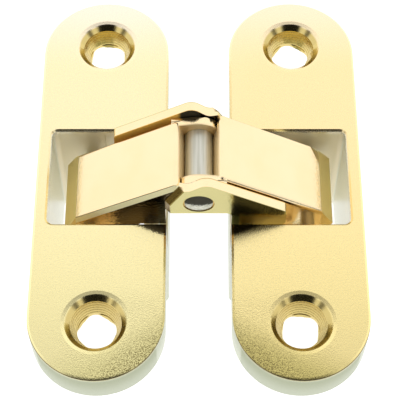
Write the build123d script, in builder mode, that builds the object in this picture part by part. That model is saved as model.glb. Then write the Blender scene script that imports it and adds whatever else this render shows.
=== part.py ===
from build123d import *
import os
from math import asin, atan2, cos, degrees, hypot, radians, sin, tan

# Invisible hinge, lying fully open: two mortise leaves, two crossed arms and their pins.
# X runs across the leaves, Y along them and Z up. The origin is on the ground, midway
# between the two housings that the hinge stands on. Lengths are in millimetres.

# Leaf flange
leaf_length = 60.0
leaf_width = 18.0
leaf_gap = 8.8  # between the leaves' inner edges when open
flange_height = 5.5
face_wall = 3.5
skirt_wall = 1.2
face_edge = 0.3  # chamfer

# Screw holes
screw_spacing = 44.0
screw_hole_r = 2.6
sink_r = 3.67  # of the steep lower part, at the face
sink_angle = 41.4
mouth_r = 4.15
mouth_angle = 90.0
mouth_depth = 0.85
lip_width = 0.4
lip_drop = 0.1
throat_lip = 0.4  # squared lip at the back of each hole
throat_flats = 4.6
throat_corner_r = 1.4
throat_turns = (-5.0, -34.0)  # of the far and the near lip, degrees

# Pocket through the leaf and the housing behind it, which is open at the back
pocket_length = 14.8
pocket_rim = 1.8  # face left outside the pocket
pocket_corner_r = 0.9
back_clearance = 0.6  # behind the folded arms
outer_wall = 1.4
inner_wall = 1.4
end_wall = 2.2
housing_corner_r = 0.8
notch_clearance = 1.0  # under the tine's lobe
relief_depth = 0.5  # hollow in the end wall beside the tine
relief_reach = 13.3
relief_top = 1.0
relief_height = 8.0

# Linkage, measured from the face plane and the middle of the open hinge
centre_height = 3.95
pivot_reach = 6.5
pivot_drop = 4.5
slide_reach = 15.3
slide_drop = 6.8
closed_gap = 1.0  # between the faces when shut

# Arms
ridge_height = 8.9  # where the two plate tops would meet
plate_slope = 32.5  # degrees
plate_far = 4.7
plate_near = -5.85
far_edge_r = 0.6
near_edge_run = 0.4
near_edge_drop = 0.9
end_reach = 18.65
end_bevel_reach = 16.85  # where the bevel at the plate's end starts
end_bevel_foot = -4.9
trim_back = 1.35  # trimmed corner of the right arm's end, along the plate and across it
trim_across = 2.85
slide_lobe_r = 1.7
underside_height = 1.4
heel_reach = (4.5, 8.0)  # step under the plate, clear of the pivot pin
heel_height = -2.9
window_half = 1.9
window_edge_r = 0.65
end_lean = 14.0  # degrees, more than half the turn of one arm against the other
foot_gap = 0.2  # between the two plates under the pin
eye_r = 3.15
eye_clearance = 0.15
ear_far = 5.1
ear_thickness = 1.2
tine_inner = 5.25
tine_thickness = 1.4
tine_rise = 0.4  # above the other arm's plate
tine_reach = 11.8
tine_foot = -1.2  # height of the lower corner at the tine's end
tine_corner_r = 0.9
lobe_r = 2.1
root_length = 1.2
root_top = -2.6
root_height = 3.6
root_ramp = 0.7
valley = (-1.35, 6.9)
valley_r = 1.2
peak_x = 0.9
peak_r = 1.5
inside_corner_r = 0.7  # between the boss's underside and the blade
groove_width = 0.2  # round the centre pin's end
groove_depth = 0.5

# Pins
centre_pin_r = 1.9
pivot_pin_r = 1.1
slide_pin_r = 1.0
dome_height = 0.35
dome_flat_r = 0.5
dome_rim = 0.1  # set back from the tine's outer face
fixed_clearance = 0.02
running_clearance = 0.05
guide_clearance = 0.15

# Swing of the pivoted arm from open to shut. The other arm turns by plate_ratio of it,
# so that the two faces come together as mirror images.
link_length = hypot(pivot_reach, centre_height + pivot_drop)
open_angle = degrees(atan2(centre_height + pivot_drop, pivot_reach))
shut_angle = 180.0 - degrees(asin((closed_gap / 2 + pivot_drop) / link_length))
full_swing = shut_angle - open_angle
plate_ratio = 180.0 / full_swing - 1.0

# Places in the upright plane across the left leaf, as (x, height above the face)
plate_drop = tan(radians(plate_slope))
plate_along = Vector(cos(radians(plate_slope)), sin(radians(plate_slope)))
centre = Vector(0, centre_height)
pivot = Vector(-pivot_reach, -pivot_drop)
slide = Vector(-slide_reach, -slide_drop)
lean = tan(radians(end_lean))


def swung(place, swing):
    """Where a place on the left arm goes once the pivoted arm has swung by this many degrees."""
    centre_then = pivot + (centre - pivot).rotate(Axis.Z, swing)
    return centre_then + (place - centre).rotate(Axis.Z, swing * plate_ratio)


# The plate's bevelled end, and a housing as deep as that end goes when shut
bevel_top = Vector(-end_bevel_reach, ridge_height - end_bevel_reach * plate_drop)
bevel_foot = Vector(-end_reach, end_bevel_foot)
lobe_dip = slide_lobe_r - swung(slide, full_swing).Y
end_dip = max(-swung(bevel_top, full_swing).Y, -swung(bevel_foot, full_swing).Y)
face_z = max(end_dip, lobe_dip) + back_clearance
leaf_x = (leaf_gap + leaf_width) / 2
pocket_outer = leaf_gap / 2 + leaf_width - pocket_rim
pocket_inner = leaf_gap / 2 + inner_wall
pocket_half = pocket_length / 2
housing_outer = pocket_outer + outer_wall
housing_half = pocket_half + end_wall
notch_depth = pivot_drop + lobe_r + notch_clearance
plate_length = plate_far - plate_near
tine_outer = tine_inner + tine_thickness
plate_axis = Axis((0, 0, 0), (plate_along.X, 0, plate_along.Y))


def upright(y):
    """Plane across the hinge at y, seen from the near end, with its origin at face level."""
    return Plane(origin=(0, y, face_z), x_dir=(1, 0, 0), z_dir=(0, -1, 0))


def plate_top(x):
    """Point on the top of the left plate."""
    return Vector(x, ridge_height + x * plate_drop)


def tine_top(x):
    """Point on the top of the near tine, a little above the right plate."""
    return Vector(x, ridge_height + tine_rise - x * plate_drop)


# The plate's end face by the centre pin leans back above the pin, and closes in under it
end_foot = Vector(-foot_gap / 2, underside_height)
end_step = Vector(-foot_gap / 2, centre_height)
end_knee = Vector(-window_half, centre_height)
end_top_x = -(window_half + lean * (ridge_height - centre_height)) / (1 + lean * plate_drop)
plate_corner = plate_top(end_top_x)
plate_section = Plane(origin=(plate_corner.X, plate_near, face_z + plate_corner.Y), x_dir=(0, 1, 0),
                      z_dir=(plate_along.X, 0, plate_along.Y))
under_corner = Vector(-heel_reach[0], underside_height)
heel_inner = Vector(-heel_reach[0], heel_height)
heel_outer = Vector(-heel_reach[1], heel_height)

# Plane through the three points where the far corner of the right arm's end is trimmed
trim_side = plate_top(trim_back - end_bevel_reach)
trim_start = Vector(-trim_side.X, -plate_near, face_z + trim_side.Y)
trim_end = Vector(-bevel_top.X, -plate_near - trim_across, face_z + bevel_top.Y)
trim_foot = Vector(-bevel_foot.X, -plate_near, face_z + bevel_foot.Y)
trim_plane = Plane(origin=trim_start, x_dir=trim_end - trim_start,
                   z_dir=(trim_end - trim_start).cross(trim_foot - trim_start))

# Left leaf
with BuildPart() as left_leaf:
    # Flange with a hollow back
    with BuildSketch(Plane.XY.offset(face_z)):
        with Locations((-leaf_x, 0)):
            SlotOverall(leaf_length, leaf_width, rotation=90)
    extrude(amount=-flange_height)
    with BuildSketch(Plane.XY.offset(face_z - flange_height)):
        with Locations((-leaf_x, 0)):
            SlotOverall(leaf_length - 2 * skirt_wall, leaf_width - 2 * skirt_wall, rotation=90)
    extrude(amount=flange_height - face_wall, mode=Mode.SUBTRACT)
    # Housing behind the face
    with BuildSketch(Plane.XY):
        with Locations((-(housing_outer + leaf_gap / 2) / 2, 0)):
            RectangleRounded(housing_outer - leaf_gap / 2, 2 * housing_half, housing_corner_r)
    extrude(amount=face_z - face_wall)
    # Pocket, open towards the other leaf at its top
    with BuildSketch(Plane.XY.offset(face_z)):
        with Locations((-(pocket_outer + pocket_inner) / 2, 0)):
            RectangleRounded(pocket_outer - pocket_inner, pocket_length, pocket_corner_r)
    extrude(amount=-face_z, mode=Mode.SUBTRACT)
    with BuildSketch(Plane.XY.offset(face_z)):
        with Locations((-pocket_inner - pocket_corner_r, 0)):
            Rectangle(pocket_inner, pocket_length, align=(Align.MIN, Align.CENTER))
    extrude(amount=-notch_depth, mode=Mode.SUBTRACT)
    # Hollow in the far end wall beside the other arm's tine
    with BuildSketch(Plane.XY.offset(face_z - relief_top)):
        with Locations((-relief_reach, pocket_half)):
            Rectangle(relief_reach - pocket_inner, 2 * relief_depth, align=(Align.MIN, Align.CENTER))
    extrude(amount=-relief_height, mode=Mode.SUBTRACT)
    # Curved guides for the slide pin through both end walls
    with BuildSketch(upright(housing_half)):
        with BuildLine(mode=Mode.PRIVATE) as guide:
            ThreePointArc(slide, swung(slide, full_swing / 2), swung(slide, full_swing))
        SlotArc(guide.edges()[0], height=2 * (slide_pin_r + guide_clearance))
    extrude(amount=2 * housing_half, mode=Mode.SUBTRACT)
    # Bores for the pivot pin
    with BuildSketch(upright(housing_half)):
        with Locations(pivot):
            Circle(pivot_pin_r + fixed_clearance)
    extrude(amount=2 * housing_half, mode=Mode.SUBTRACT)
    # Countersunk screw holes, each with a squared lip at the back
    for side, turn in zip((1, -1), throat_turns):
        with Locations((-leaf_x, side * screw_spacing / 2, face_z)):
            CounterSinkHole(screw_hole_r, sink_r, depth=face_wall - throat_lip, counter_sink_angle=sink_angle)
            CounterSinkHole(mouth_r - mouth_depth, mouth_r, depth=mouth_depth, counter_sink_angle=mouth_angle)
        with BuildSketch(Plane.XY.offset(face_z - face_wall)):
            with Locations(Location((-leaf_x, side * screw_spacing / 2), turn)):
                RectangleRounded(throat_flats, throat_flats, throat_corner_r)
        extrude(amount=throat_lip, mode=Mode.SUBTRACT)
    chamfer(left_leaf.faces().sort_by(Axis.Z)[-1].outer_wire().edges(), face_edge)
    top_face = left_leaf.faces().sort_by(Axis.Z)[-1]
    chamfer(top_face.inner_wires().edges(), lip_width, lip_drop, reference=top_face)

# Right leaf, the same casting turned about the hinge's middle
with BuildPart() as right_leaf:
    add(left_leaf.part.rotate(Axis.Z, 180))

# Left arm: plate in the left pocket, ear on its far side, tine to the right on its near side
with BuildPart() as left_arm:
    # Plate with a bevelled end and a lobe that holds the slide pin
    with BuildSketch(upright(plate_far)) as plate:
        with BuildLine():
            Polyline(bevel_top, plate_corner, end_knee, end_step, end_foot, under_corner, heel_inner,
                     heel_outer, slide, bevel_foot, close=True)
        make_face()
        with BuildLine() as end_lines:
            CenterArc(slide, slide_lobe_r, 0, 360)
            Polyline(bevel_foot, bevel_top, heel_outer)
        make_hull(end_lines.edges())
        fillet(plate.vertices().sort_by_distance(plate_corner)[0], window_edge_r)
    extrude(amount=plate_length)
    fillet(left_arm.edges().filter_by(plate_axis).sort_by(Axis.Y)[-1], far_edge_r)
    # Steep facet along the near edge
    with BuildSketch(plate_section):
        with BuildLine():
            Polyline((1.5 * near_edge_run, 0.5 * near_edge_drop), (-0.5 * near_edge_run, 0.5 * near_edge_drop),
                     (-0.5 * near_edge_run, -1.5 * near_edge_drop), close=True)
        make_face()
    extrude(amount=2 * end_reach, both=True, mode=Mode.SUBTRACT)
    # Hollow at the near end for the other arm's ear
    with BuildSketch(upright(-ear_far + ear_thickness + eye_clearance)):
        with Locations(centre):
            Circle(eye_r + eye_clearance)
    extrude(amount=tine_inner - ear_far + ear_thickness + eye_clearance, mode=Mode.SUBTRACT)
    # Ear
    with BuildSketch(upright(ear_far)):
        with BuildLine():
            CenterArc(centre, eye_r, 0, 360)
            Polyline(plate_corner - plate_along * root_length, under_corner)
        make_hull()
        with Locations((0, underside_height)):
            Rectangle(2 * leaf_width, leaf_width, align=(Align.CENTER, Align.MAX), mode=Mode.SUBTRACT)
    extrude(amount=ear_thickness)
    # Tine: boss round the centre pin, then a blade down to the lobe on the pivot pin
    with BuildSketch(upright(-tine_inner)) as tine:
        with BuildLine():
            Polyline(plate_top(root_top), Vector(*valley), tine_top(peak_x), tine_top(leaf_gap / 2),
                     Vector(leaf_gap / 2, underside_height), under_corner,
                     Vector(-heel_reach[0], root_height), close=True)
        make_face()
        with BuildLine() as blade_lines:
            CenterArc((pivot_reach, -pivot_drop), lobe_r, 0, 360)
            Polyline(Vector(leaf_gap / 2, underside_height), tine_top(leaf_gap / 2), tine_top(tine_reach),
                     Vector(tine_reach, tine_foot))
        make_hull(blade_lines.edges())
        fillet(tine.vertices().sort_by_distance(Vector(*valley))[0], valley_r)
        fillet(tine.vertices().sort_by_distance(tine_top(peak_x))[0], peak_r)
        fillet(tine.vertices().sort_by_distance(tine_top(tine_reach))[0], tine_corner_r)
        fillet(tine.vertices().sort_by_distance(Vector(tine_reach, tine_foot))[0], tine_corner_r)
        fillet(tine.vertices().sort_by_distance(Vector(leaf_gap / 2, underside_height))[0], inside_corner_r)
    extrude(amount=tine_thickness)
    root_edges = left_arm.faces().sort_by(Axis.Y)[0].edges().sort_by(Axis.X)[:2]
    chamfer(root_edges, root_ramp)
    # Bores
    with BuildSketch(upright(ear_far)):
        with Locations(centre):
            Circle(centre_pin_r + fixed_clearance)
    extrude(amount=ear_far + tine_outer, mode=Mode.SUBTRACT)
    with BuildSketch(upright(plate_far)):
        with Locations(slide):
            Circle(slide_pin_r + fixed_clearance)
    extrude(amount=plate_length, mode=Mode.SUBTRACT)
    with BuildSketch(upright(-tine_inner)):
        with Locations((pivot_reach, -pivot_drop)):
            Circle(pivot_pin_r + running_clearance)
    extrude(amount=tine_thickness, mode=Mode.SUBTRACT)
    with BuildSketch(upright(groove_depth - tine_outer)):
        with Locations(centre):
            Circle(centre_pin_r + groove_width)
    extrude(amount=groove_depth, mode=Mode.SUBTRACT)

# Right arm, the same casting turned about the hinge's middle, running free on the centre pin.
# The far corner of its end is trimmed by a slanting facet.
with BuildPart() as right_arm:
    add(left_arm.part.rotate(Axis.Z, 180))
    split(bisect_by=trim_plane, keep=Keep.BOTTOM)
    with BuildSketch(upright(tine_outer)):
        with Locations(centre):
            Circle(centre_pin_r + running_clearance)
    extrude(amount=ear_far + tine_outer, mode=Mode.SUBTRACT)


def pin(place, radius, half_length):
    """Steel pin along Y."""
    with BuildPart() as made:
        with BuildSketch(upright(half_length)):
            with Locations(place):
                Circle(radius)
        extrude(amount=2 * half_length)
    return made.part


# Centre pin with domed ends
dome_start = tine_outer - dome_rim
dome_end = dome_start + dome_height
with BuildPart() as centre_pin:
    with BuildSketch(Plane.XY.offset(face_z + centre_height)):
        with BuildLine():
            Polyline((0, -dome_end), (dome_flat_r, -dome_end), (centre_pin_r, -dome_start),
                     (centre_pin_r, dome_start), (dome_flat_r, dome_end), (0, dome_end), close=True)
        make_face()
    revolve(axis=Axis((0, 0, face_z + centre_height), (0, 1, 0)))
with BuildPart() as left_pivot_pin:
    add(pin(pivot, pivot_pin_r, housing_half))
with BuildPart() as right_pivot_pin:
    add(left_pivot_pin.part.rotate(Axis.Z, 180))
with BuildPart() as left_slide_pin:
    add(pin(slide, slide_pin_r, housing_half))
with BuildPart() as right_slide_pin:
    add(left_slide_pin.part.rotate(Axis.Z, 180))

pieces = {
    "left_leaf": left_leaf,
    "right_leaf": right_leaf,
    "left_arm": left_arm,
    "right_arm": right_arm,
    "centre_pin": centre_pin,
    "left_pivot_pin": left_pivot_pin,
    "right_pivot_pin": right_pivot_pin,
    "left_slide_pin": left_slide_pin,
    "right_slide_pin": right_slide_pin,
}

os.makedirs("parts", exist_ok=True)
for name, piece in pieces.items():
    piece.part.label = name
    export_step(piece.part, f"parts/{name}.step")

print(f"face height {face_z:.4f}, swing {full_swing:.4f}, plate ratio {plate_ratio:.6f}")
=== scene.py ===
from math import cos, radians, sin, tan

import bpy
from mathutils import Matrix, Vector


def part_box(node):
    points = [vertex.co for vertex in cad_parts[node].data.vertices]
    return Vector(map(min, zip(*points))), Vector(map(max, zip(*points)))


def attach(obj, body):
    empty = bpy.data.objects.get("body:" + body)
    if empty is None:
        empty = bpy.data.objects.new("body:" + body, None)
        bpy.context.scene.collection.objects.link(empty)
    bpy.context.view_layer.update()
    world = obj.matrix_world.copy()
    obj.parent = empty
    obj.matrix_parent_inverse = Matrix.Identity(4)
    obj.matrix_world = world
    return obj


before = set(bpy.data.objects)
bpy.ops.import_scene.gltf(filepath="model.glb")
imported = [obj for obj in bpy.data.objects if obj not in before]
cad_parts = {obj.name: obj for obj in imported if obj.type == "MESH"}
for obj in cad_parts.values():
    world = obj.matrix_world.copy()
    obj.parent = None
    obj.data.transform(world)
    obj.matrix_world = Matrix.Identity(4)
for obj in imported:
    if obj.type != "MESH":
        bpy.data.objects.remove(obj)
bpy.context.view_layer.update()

# Invisible hinge, lying open. The CAD nodes keep their shapes and get their finishes here.
# The turned rings in the countersinks are pieces of their own.

# Sizes of the part, in metres
MM = 0.001
FACE_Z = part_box("left_leaf")[1].z
LEAF_X = 13.4 * MM
SCREW_Y = 22.0 * MM
SINK_RADIUS = 3.67 * MM
SINK_SLOPE = tan(radians(20.7))

# Rings that the tool leaves in a countersink, in metres
FIRST_RING_DEPTH = 1.0 * MM
RING_PITCH = 0.4 * MM
RING_COUNT = 5
RING_SIDES = 72
RIDGE_RADIUS = 0.035 * MM
RIDGE_SIDES = 6

# Places that the finishes follow, in millimetres. X runs across the hinge and Y along it,
# both from its middle, and Z up from the floor. The bare numbers in a ramp are such places
# too, or else the range of a noise.
FACE = FACE_Z / MM
LEAF_HALF = 9.0
SINK_MOUTH = 4.2
POCKET_END = 7.4
POCKET_HALF = 7.4
POCKET_MIDDLE = -0.2  # across from the middle of the leaf
PIN_RIM = 6.55
PIN_MIDDLE_Z = FACE + 3.95

# Places on the left arm, in millimetres. The right one is turned half round.
PLATE_FAR = 4.7
PLATE_NEAR = 5.85
BEVEL_TOP = 5.45
PLATE_END = 16.85
TINE_INNER = 5.25
TINE_OUTER = 6.65


def rgb(red, green, blue):
    return red, green, blue, 1.0


# Colours of a leaf. A pair goes from the near end to the far one, from left to right, or
# from the back to the face.
# Painted shade and light: deeper gold to the right, and a shift from the near end to the far one
PALE_GOLD = rgb(0.98, 0.87, 0.45), rgb(0.98, 0.84, 0.51)
DEEP_GOLD = rgb(0.985, 0.815, 0.37), rgb(0.98, 0.785, 0.42)
# Painted shade at the near end of a leaf, from left to right
NEAR_END_SHADE = rgb(0.84, 0.76, 0.36), rgb(0.66, 0.56, 0.20)
# Painted highlight at the far end of a leaf, from left to right
FAR_END_HIGHLIGHT = rgb(0.99, 0.88, 0.73), rgb(0.99, 0.85, 0.62)
PALE_SKIRT = rgb(0.61, 0.64, 0.52), rgb(0.48, 0.51, 0.37)
DARK_SPECK = rgb(0.22, 0.175, 0.06)
# Painted shade in the near corner of the pocket
CORNER_SHADE = rgb(0.06, 0.045, 0.02)
# Painted shade: a dark line along the near end's edge, between face and skirt
RIM_LINE_SHADE = rgb(0.20, 0.16, 0.06)
POCKET_WALL = rgb(0.84, 0.88, 0.80)
# Painted reflection of the gold: paler gold on the far wall of the pocket, orange gold on the
# near one
POCKET_FAR_WALL_REFLECTION = rgb(0.92, 0.88, 0.70)
POCKET_NEAR_WALL_REFLECTION = rgb(0.94, 0.72, 0.32)
# Painted shade: darker gold in the countersinks
SINK_SHADE_GOLD = rgb(0.72, 0.57, 0.22)

# Colours of an arm, where a noise mixes the pair
ARM_GOLD = rgb(0.98, 0.80, 0.50), rgb(0.97, 0.775, 0.46)
# Painted shade on the outer faces of the tines
TINE_OUTSIDE_SHADE = rgb(0.60, 0.54, 0.24)
# Painted bounce light: orange on the inner faces of the tines
TINE_INSIDE_BOUNCE_LIGHT = rgb(1.0, 0.58, 0.10)
# Painted shade at the roots of the tines
TINE_ROOT_SHADE = rgb(0.22, 0.16, 0.06)
# Painted shade in the gaps beside the centre pin
GAP_BY_PIN_SHADE = rgb(0.03, 0.024, 0.01)
# Painted shade on the near side of an arm's plate, in the gap by the tine
PLATE_NEAR_SIDE_SHADE = rgb(0.09, 0.065, 0.025)
# Painted shade on the far side of an arm's plate
PLATE_FAR_SIDE_SHADE = rgb(0.06, 0.045, 0.02)
# Painted highlight on the bevel of an arm's plate
PLATE_BEVEL_HIGHLIGHT = rgb(1.0, 0.94, 0.58)
# Painted shade in the crease between the bevel and the top of the plate
PLATE_CREASE_SHADE = rgb(0.30, 0.24, 0.10)
# Painted light: brighter gold on the ends of an arm's plate
PLATE_END_LIT_GOLD = rgb(1.0, 0.84, 0.40)

# Colours of the pins and the rings, where a noise mixes each pair
STEEL = rgb(0.80, 0.79, 0.70), rgb(0.66, 0.65, 0.55)
# Painted shade on the upper halves of the centre pin's ends
PIN_END_SHADE = rgb(0.05, 0.045, 0.03)
RIDGE_GOLD = rgb(0.74, 0.58, 0.22), rgb(0.60, 0.46, 0.16)

# Brightness of the tent's cloth
PLAIN_CLOTH = 0.56
FAR_CLOTH = 1.46
SIDE_CLOTH = 1.3
OPENING = 0.03

scene = bpy.context.scene
scene.view_settings.view_transform = "Standard"
scene.view_settings.look = "None"


# Node helpers

class Field:
    """Output of a node, a value that changes from place to place and takes plain sums."""

    def __init__(self, tree, socket):
        self.tree = tree
        self.socket = socket

    def __add__(self, other):
        return maths("ADD", self, other)

    def __sub__(self, other):
        return maths("SUBTRACT", self, other)

    def __rsub__(self, other):
        return maths("SUBTRACT", other, self)

    def __mul__(self, other):
        return maths("MULTIPLY", self, other)

    def __abs__(self):
        return maths("ABSOLUTE", self)


def feed(socket, value):
    """Links a field to a socket, or sets a plain value on it."""
    if isinstance(value, Field):
        value.tree.links.new(value.socket, socket)
    else:
        socket.default_value = value


def add_node(tree, kind, inputs):
    """New node with these named inputs, and its first output as a field."""
    node = tree.nodes.new(kind)
    for name, value in inputs.items():
        feed(node.inputs[name], value)
    return Field(tree, node.outputs[0])


def maths(operation, *values):
    tree = next(value.tree for value in values if isinstance(value, Field))
    node = tree.nodes.new("ShaderNodeMath")
    node.operation = operation
    for socket, value in zip(node.inputs, values):
        feed(socket, value)
    return Field(tree, node.outputs[0])


def highest(first, *others):
    for other in others:
        first = maths("MAXIMUM", first, other)
    return first


def ramp(value, low, high, to_low=0.0, to_high=1.0):
    """Smooth step of a value from low to high."""
    node = value.tree.nodes.new("ShaderNodeMapRange")
    node.interpolation_type = "SMOOTHSTEP"
    feed(node.inputs["Value"], value)
    feed(node.inputs["From Min"], low)
    feed(node.inputs["From Max"], high)
    feed(node.inputs["To Min"], to_low)
    feed(node.inputs["To Max"], to_high)
    return Field(value.tree, node.outputs["Result"])


def between(value, start, full, still_full, end):
    """One where a value lies between two edges, which are both soft."""
    return ramp(value, start, full) * ramp(value, end, still_full)


def close_to(value, place, end, full):
    """One where a value is close to a place, down to nothing at the end distance."""
    return ramp(abs(value - place), end, full)


def mixed(share, first, second):
    """Colour that goes from first to second by share."""
    node = share.tree.nodes.new("ShaderNodeMix")
    node.data_type = "RGBA"
    feed(node.inputs[0], share)
    feed(node.inputs[6], first)
    feed(node.inputs[7], second)
    return Field(share.tree, node.outputs[2])


def layered(colour, *coats):
    """Colour with coats over it, each of them a share and a colour."""
    for share, coat in coats:
        colour = mixed(share, colour, coat)
    return colour


def millimetres(tree, stretch=(1.0, 1.0, 1.0)):
    """Object coordinates in millimetres, stretched along the axes."""
    coordinates = tree.nodes.new("ShaderNodeTexCoord").outputs["Object"]
    return add_node(tree, "ShaderNodeMapping", {
        "Vector": Field(tree, coordinates),
        "Scale": [factor / MM for factor in stretch],
    })


def axes(place):
    node = place.tree.nodes.new("ShaderNodeSeparateXYZ")
    feed(node.inputs[0], place)
    return [Field(place.tree, output) for output in node.outputs]


def noise(place, scale, detail=2.0, roughness=0.5):
    return add_node(place.tree, "ShaderNodeTexNoise", {
        "Vector": place,
        "Scale": scale,
        "Detail": detail,
        "Roughness": roughness,
    })


def new_material(name):
    """Material with one shader, and the tree to build in."""
    material = bpy.data.materials.new(name)
    material.use_nodes = True
    tree = material.node_tree
    tree.nodes.clear()
    shader = tree.nodes.new("ShaderNodeBsdfPrincipled")
    output = tree.nodes.new("ShaderNodeOutputMaterial")
    tree.links.new(shader.outputs["BSDF"], output.inputs["Surface"])
    return material, tree, shader


def set_finish(shader, colour, metallic, roughness):
    feed(shader.inputs["Base Color"], colour)
    feed(shader.inputs["Metallic"], metallic)
    feed(shader.inputs["Roughness"], roughness)


def set_bump(shader, height, strength, distance):
    normal = add_node(height.tree, "ShaderNodeBump", {
        "Height": height,
        "Strength": strength,
        "Distance": distance,
    })
    feed(shader.inputs["Normal"], normal)


# Finishes

def face_gold(place, across, grain):
    """Leaf gold: painted shade to the right and at the near end, a painted highlight at the far
    end.
    """
    x, y, _ = axes(place)
    drift = noise(place, 0.09, 3.0)
    # Painted shade: the gold gets deeper towards the right, with a random drift, and shifts along
    # the leaf
    rightward_shade = ramp(drift * 8.0 + x, -6.0, 14.0)
    onward = ramp(y, -24.0, 14.0)
    gold = mixed(rightward_shade, mixed(onward, *PALE_GOLD), mixed(onward, *DEEP_GOLD))
    # Painted shade towards the near end
    near_end_shade = ramp(across * 0.45 + y, -23.0, -30.0)
    # Painted highlight towards the far end
    far_end_highlight = ramp(y, 17.0, 32.0)
    inner_end = across * -0.6 - y * 0.8 - 16.8
    specks = ramp(inner_end, 4.0, 9.0) * ramp(grain, 0.49, 0.57)

    # Painted shade in the corner at the near end of the pocket, which widens towards the other
    # leaf
    corner_start = -4.2
    widened = grain * 1.6 + y + ramp(across, corner_start, -LEAF_HALF, 0.0, 1.5)
    corner = ramp(widened, 0.3 - POCKET_END, 0.8 - POCKET_END)
    corner = corner * ramp(y, 0.2 - POCKET_END, 0.1 - POCKET_END)
    corner = corner * ramp(across, corner_start, corner_start - 1.2)
    return layered(
        gold,
        (near_end_shade, mixed(rightward_shade, *NEAR_END_SHADE)),
        (far_end_highlight, mixed(rightward_shade, *FAR_END_HIGHLIGHT)),
        (specks, DARK_SPECK),
        (corner, CORNER_SHADE),
    )


def cast_leaf():
    """Plated casting: gold face with a grainy near end, pale walls and countersinks with painted
    shade.
    """
    material, tree, shader = new_material("plated_leaf")
    place = millimetres(tree)
    x, y, z = axes(place)
    across = abs(x) - LEAF_X / MM
    along = abs(y) - SCREW_Y / MM
    grain = noise(place, 6.5, 2.5, 0.6)

    from_axis = maths("SQRT", across * across + along * along)
    # Countersinks, which get darker gold as painted shade and a smoother finish
    in_sink = ramp(from_axis, SINK_MOUTH + 0.2, SINK_MOUTH) * ramp(z, FACE - 0.05, FACE - 0.3)
    # Painted shade: a dark line along the edge of the near end
    rim_line_shade = between(z, FACE - 0.5, FACE - 0.4, FACE - 0.26, FACE - 0.2) * ramp(y, -21.0, -25.0)
    within = close_to(across, POCKET_MIDDLE, POCKET_HALF + 0.4, POCKET_HALF + 0.2)
    far_wall = within * ramp(y, POCKET_END - 0.5, POCKET_END - 0.2)
    near_wall = within * ramp(y, 0.5 - POCKET_END, 0.2 - POCKET_END)
    at_face = ramp(z, FACE - 0.4, FACE - 0.1)
    in_pocket = ramp(abs(y), POCKET_END + 1.6, POCKET_END + 0.6) * within * (1.0 - at_face)
    # Painted reflection of the gold on the far and near walls of the pocket
    pocket = layered(POCKET_WALL, (far_wall, POCKET_FAR_WALL_REFLECTION), (near_wall, POCKET_NEAR_WALL_REFLECTION))

    colour = layered(
        mixed(ramp(z, FACE - 5.0, FACE - 1.0), *PALE_SKIRT),
        (ramp(z, FACE - 0.75, FACE - 0.3), face_gold(place, across, grain)),
        (rim_line_shade, RIM_LINE_SHADE),
        (in_pocket, pocket),
        (in_sink, SINK_SHADE_GOLD),
    )
    metallic = 1.0 - in_pocket * (within - near_wall) * 0.5
    rough = ramp(grain, 0.2, 0.8, 0.20, 0.30)
    rough_walls = ramp(z, FACE - 0.3, FACE - 1.2) * (near_wall * 0.3 + far_wall * 0.2 + 0.06)
    set_finish(shader, colour, metallic, highest(rough + rough_walls - in_sink * 0.3, 0.14))

    near_grain = ramp(y, -16.0, -26.0) * ramp(across, 6.0, -4.0)
    near_grain = near_grain * ramp(z, FACE - 0.25, FACE - 0.02)
    set_bump(shader, grain, near_grain * 0.95 + 0.05, 0.13 * MM)
    return material


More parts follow.
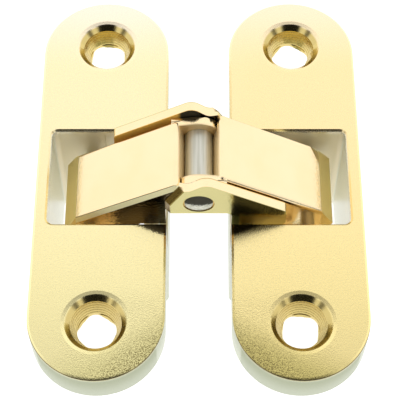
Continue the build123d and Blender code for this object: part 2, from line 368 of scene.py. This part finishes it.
def smooth_arm():
    """Plated arm: smooth gold, painted shade outside the tines and in the gaps, painted highlight
    on the bevel.
    """
    material, tree, shader = new_material("plated_arm")
    place = millimetres(tree)
    x, y, z = axes(place)
    to_middle = abs(x)
    to_end = abs(y)
    drift = noise(place, 0.15, 3.0)
    grain = noise(place, 3.0, 2.0)

    # X times Y is above zero by the bevel of an arm's own plate, and below zero on its tine
    same_side = x * y
    on_plate = ramp(same_side, 14.0, 16.0)

    # Outer faces of the tines, which get painted shade
    outside = ramp(to_end, TINE_OUTER - 0.15, TINE_OUTER - 0.03)
    # Inner faces of the tines, which get orange painted bounce light
    inside = close_to(to_end, TINE_INNER, 0.12, 0.05) * ramp(same_side, 3.0, 0.0)
    # Painted shade in the gap beside the centre pin
    by_pin_shade = close_to(to_end, TINE_INNER, 0.04, 0.02) * ramp(to_middle, 3.0, 2.3)
    # Painted shade at the root of a tine
    root_shade = ramp(same_side, 12.0, 15.0) * ramp(to_middle, 6.2, 5.6)
    root_shade = root_shade * (ramp(to_end, PLATE_NEAR + 0.01, PLATE_NEAR + 0.07) - outside)

    near_side = on_plate * close_to(to_end, PLATE_NEAR, 0.06, 0.03)
    # Painted shade in the gap on the plate's near side
    gap_shade = near_side * ramp(grain * 4.0 + to_middle, 15.0, 12.5)
    # Painted shade along the plate's far side
    far_side_shade = between(
        to_end, PLATE_FAR - 0.15, PLATE_FAR - 0.12, PLATE_FAR - 0.01, PLATE_FAR - 0.003)
    far_side_shade = far_side_shade * ramp(same_side, -11.0, -12.5) * ramp(to_middle, 14.5, 12.0)
    # The bevel, which gets a painted highlight
    bevel = on_plate * between(
        to_end, BEVEL_TOP + 0.02, BEVEL_TOP + 0.04, PLATE_NEAR - 0.05, PLATE_NEAR - 0.02)
    # Painted shade in the crease
    crease_shade = on_plate * close_to(to_end, BEVEL_TOP + 0.01, 0.035, 0.02)
    # Plate ends, which get brighter gold as painted light and a satin finish
    plate_end = ramp(to_middle, PLATE_END, PLATE_END + 0.1) * ramp(z, FACE - 1.75, FACE - 1.85)
    window = ramp(to_middle, 2.9, 2.6) * ramp(to_end, 4.2, 3.9)

    colour = layered(
        mixed(ramp(drift, 0.3, 0.7), *ARM_GOLD),
        (outside, TINE_OUTSIDE_SHADE),
        (inside, TINE_INSIDE_BOUNCE_LIGHT),
        (by_pin_shade, GAP_BY_PIN_SHADE),
        (gap_shade, PLATE_NEAR_SIDE_SHADE),
        (far_side_shade, PLATE_FAR_SIDE_SHADE),
        (bevel, PLATE_BEVEL_HIGHLIGHT),
        (crease_shade, PLATE_CREASE_SHADE),
        (plate_end, PLATE_END_LIT_GOLD),
        (root_shade, TINE_ROOT_SHADE),
    )
    metallic = 1.0 - (inside * 0.7 + bevel * 0.8)
    satin = highest(plate_end, bevel, window, inside) * 0.4
    set_finish(shader, colour, metallic, ramp(grain, 0.2, 0.8, 0.13, 0.20) + satin)
    set_bump(shader, grain, near_side * 0.75 + 0.25, 0.05 * MM)
    return material


def drawn_steel():
    """Satin steel, drawn along the pin, with painted shade on the upper halves of the centre
    pin's ends.
    """
    material, tree, shader = new_material("drawn_steel")
    place = millimetres(tree)
    _, y, z = axes(place)
    lines = noise(millimetres(tree, (2.2, 0.1, 2.2)), 1.0, 2.0)
    pits = noise(place, 5.0, 2.0)
    above = ramp(pits * 1.2 + z, PIN_MIDDLE_Z + 0.4, PIN_MIDDLE_Z + 0.8)
    # Painted shade on the upper half of each end of the centre pin
    pin_end_shade = above * ramp(abs(y), PIN_RIM - 0.1, PIN_RIM)
    colour = mixed(pin_end_shade, mixed(ramp(lines, 0.35, 0.65), *STEEL), PIN_END_SHADE)
    set_finish(shader, colour, 0.75, ramp(lines, 0.2, 0.8, 0.42, 0.52))
    set_bump(shader, pits, 0.3, 0.02 * MM)
    return material


def turned_gold():
    """Gold of the ridges that the countersink tool leaves."""
    material, tree, shader = new_material("turned_gold")
    streaks = noise(millimetres(tree), 2.0, 2.0)
    colour = mixed(ramp(streaks, 0.3, 0.7), *RIDGE_GOLD)
    set_finish(shader, colour, 1.0, ramp(streaks, 0.2, 0.8, 0.2, 0.3))
    return material


leaf_finish = cast_leaf()
arm_finish = smooth_arm()
pin_finish = drawn_steel()
ring_finish = turned_gold()


def finish_node(name, material):
    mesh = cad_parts[name].data
    mesh.materials.clear()
    mesh.materials.append(material)


for side in ("left", "right"):
    finish_node(f"{side}_leaf", leaf_finish)
    finish_node(f"{side}_arm", arm_finish)
    finish_node(f"{side}_pivot_pin", pin_finish)
    finish_node(f"{side}_slide_pin", pin_finish)
finish_node("centre_pin", pin_finish)


# Turned rings in the countersinks

def rings_tree():
    """Geometry nodes for the rings that follow the cone of each of a leaf's two countersinks."""
    tree = bpy.data.node_groups.new("turned_rings", "GeometryNodeTree")
    for name, kind in (
        ("Leaf X", "NodeSocketFloat"),
        ("Face Z", "NodeSocketFloat"),
        ("Spacing", "NodeSocketFloat"),
        ("Sink Radius", "NodeSocketFloat"),
        ("Sink Slope", "NodeSocketFloat"),
        ("First Depth", "NodeSocketFloat"),
        ("Pitch", "NodeSocketFloat"),
        ("Count", "NodeSocketInt"),
        ("Ridge Radius", "NodeSocketFloat"),
        ("Finish", "NodeSocketMaterial"),
    ):
        tree.interface.new_socket(name, in_out="INPUT", socket_type=kind)
    tree.interface.new_socket("Rings", in_out="OUTPUT", socket_type="NodeSocketGeometry")
    group_input = tree.nodes.new("NodeGroupInput")
    given = {socket.name: Field(tree, socket) for socket in group_input.outputs}

    def add(kind, **inputs):
        """New node in this tree. An input's name has _ for each blank."""
        named = {name.replace("_", " "): value for name, value in inputs.items()}
        return add_node(tree, kind, named)

    def vector(x=0.0, y=0.0, z=0.0):
        return add("ShaderNodeCombineXYZ", X=x, Y=y, Z=z)

    # One ring for each depth, as wide as the cone is there
    depths = add(
        "GeometryNodeMeshLine",
        Count=given["Count"],
        Start_Location=vector(z=given["First Depth"] * -1.0),
        Offset=vector(z=given["Pitch"] * -1.0),
    )
    depth = given["First Depth"] + add("GeometryNodeInputIndex") * given["Pitch"]
    radius = given["Sink Radius"] - depth * given["Sink Slope"]
    rings = add(
        "GeometryNodeInstanceOnPoints",
        Points=depths,
        Instance=add("GeometryNodeCurvePrimitiveCircle", Resolution=RING_SIDES, Radius=1.0),
        Scale=vector(radius, radius, radius),
    )
    section = add(
        "GeometryNodeCurvePrimitiveCircle", Resolution=RIDGE_SIDES, Radius=given["Ridge Radius"])
    ridges = add(
        "GeometryNodeCurveToMesh",
        Curve=add("GeometryNodeRealizeInstances", Geometry=rings),
        Profile_Curve=section,
    )

    # The same ridges in both of a leaf's countersinks
    holes = add(
        "GeometryNodeMeshLine",
        Count=2,
        Start_Location=vector(given["Leaf X"], given["Spacing"] * -0.5, given["Face Z"]),
        Offset=vector(y=given["Spacing"]),
    )
    both = add("GeometryNodeInstanceOnPoints", Points=holes, Instance=ridges)
    whole = add("GeometryNodeRealizeInstances", Geometry=both)
    smooth = add("GeometryNodeSetShadeSmooth", Geometry=whole)
    finished = add("GeometryNodeSetMaterial", Geometry=smooth, Material=given["Finish"])
    feed(tree.nodes.new("NodeGroupOutput").inputs["Rings"], finished)
    return tree


def grown(name, tree, sizes):
    """Plain mesh object that a geometry-nodes tree makes with these named sizes."""
    base = bpy.data.objects.new(name + "_base", bpy.data.meshes.new(name + "_base"))
    scene.collection.objects.link(base)
    modifier = base.modifiers.new("grow", "NODES")
    modifier.node_group = tree
    for item in tree.interface.items_tree:
        if item.in_out == "INPUT" and item.name in sizes:
            modifier[item.identifier] = sizes[item.name]
    grown_from = base.evaluated_get(bpy.context.evaluated_depsgraph_get())
    mesh = bpy.data.meshes.new_from_object(grown_from)
    mesh.name = name
    bpy.data.objects.remove(base)
    piece = bpy.data.objects.new(name, mesh)
    scene.collection.objects.link(piece)
    return piece


sink_rings = rings_tree()
for side, sign in (("left", -1.0), ("right", 1.0)):
    rings = grown(f"{side}_sink_rings", sink_rings, {
        "Leaf X": sign * LEAF_X,
        "Face Z": FACE_Z,
        "Spacing": 2 * SCREW_Y,
        "Sink Radius": SINK_RADIUS,
        "Sink Slope": SINK_SLOPE,
        "First Depth": FIRST_RING_DEPTH,
        "Pitch": RING_PITCH,
        "Count": RING_COUNT,
        "Ridge Radius": RIDGE_RADIUS,
        "Finish": ring_finish,
    })
    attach(rings, f"{side}_leaf")


# Floor, light and camera

def white_floor():
    """Pale floor that is lit from below, as on a light table."""
    half = 1.2
    corners = [(-half, -half, 0), (half, -half, 0), (half, half, 0), (-half, half, 0)]
    mesh = bpy.data.meshes.new("floor")
    mesh.from_pydata(corners, [], [(0, 1, 2, 3)])
    floor = bpy.data.objects.new("floor", mesh)
    floor.location.z = -0.02 * MM
    scene.collection.objects.link(floor)
    material, _, shader = new_material("light_table")
    set_finish(shader, rgb(0.4, 0.4, 0.4), 0.0, 0.8)
    shader.inputs["Specular IOR Level"].default_value = 0.0
    shader.inputs["Emission Color"].default_value = rgb(1.0, 1.0, 1.0)
    shader.inputs["Emission Strength"].default_value = 0.98
    mesh.materials.append(material)


def light_tent():
    """White tent, brightest at the far side, with a dark opening high on the near side."""
    world = bpy.data.worlds.new("tent")
    scene.world = world
    world.use_nodes = True
    tree = world.node_tree
    tree.nodes.clear()
    background = tree.nodes.new("ShaderNodeBackground")
    output = tree.nodes.new("ShaderNodeOutputWorld")
    tree.links.new(background.outputs[0], output.inputs["Surface"])

    # Parts of the direction that the light comes from
    direction = tree.nodes.new("ShaderNodeTexCoord").outputs["Generated"]
    x, y, z = axes(Field(tree, direction))
    aside = abs(x)
    below = ramp(z, 0.34, 0.18)
    behind = ramp(y, -0.3, 0.05)
    seam = between(aside, 0.70, 0.79, 0.84, 0.93) * ramp(y, -0.1, -0.25) * ramp(z, 0.2, 0.32)
    beside = ramp(z * 0.6 + aside, 0.73, 0.87) - seam * 0.8
    cloth = highest(
        ramp(y, 0.335, 0.41, PLAIN_CLOTH, FAR_CLOTH),
        ramp(aside, 0.35, 0.6, PLAIN_CLOTH, SIDE_CLOTH),
        below * SIDE_CLOTH,
    )
    feed(background.inputs["Strength"], cloth * highest(beside, behind, below, OPENING))


def photo_camera():
    """Camera at the photograph's angle: 60 degrees above the faces, square on to the hinge."""
    elevation = radians(60.39)
    distance = 181.1 * MM
    aim_x, aim_y, aim_z = 0.167 * MM, -3.787 * MM, FACE_Z
    camera = bpy.data.objects.new("camera", bpy.data.cameras.new("camera"))
    scene.collection.objects.link(camera)
    camera.data.sensor_width = 36.0
    camera.data.lens = 119.5
    camera.data.clip_start = 0.01
    camera.location = (
        aim_x, aim_y - distance * cos(elevation), aim_z + distance * sin(elevation))
    camera.rotation_euler = (radians(90.0) - elevation, 0.0, 0.0)
    scene.camera = camera


white_floor()
light_tent()
photo_camera()
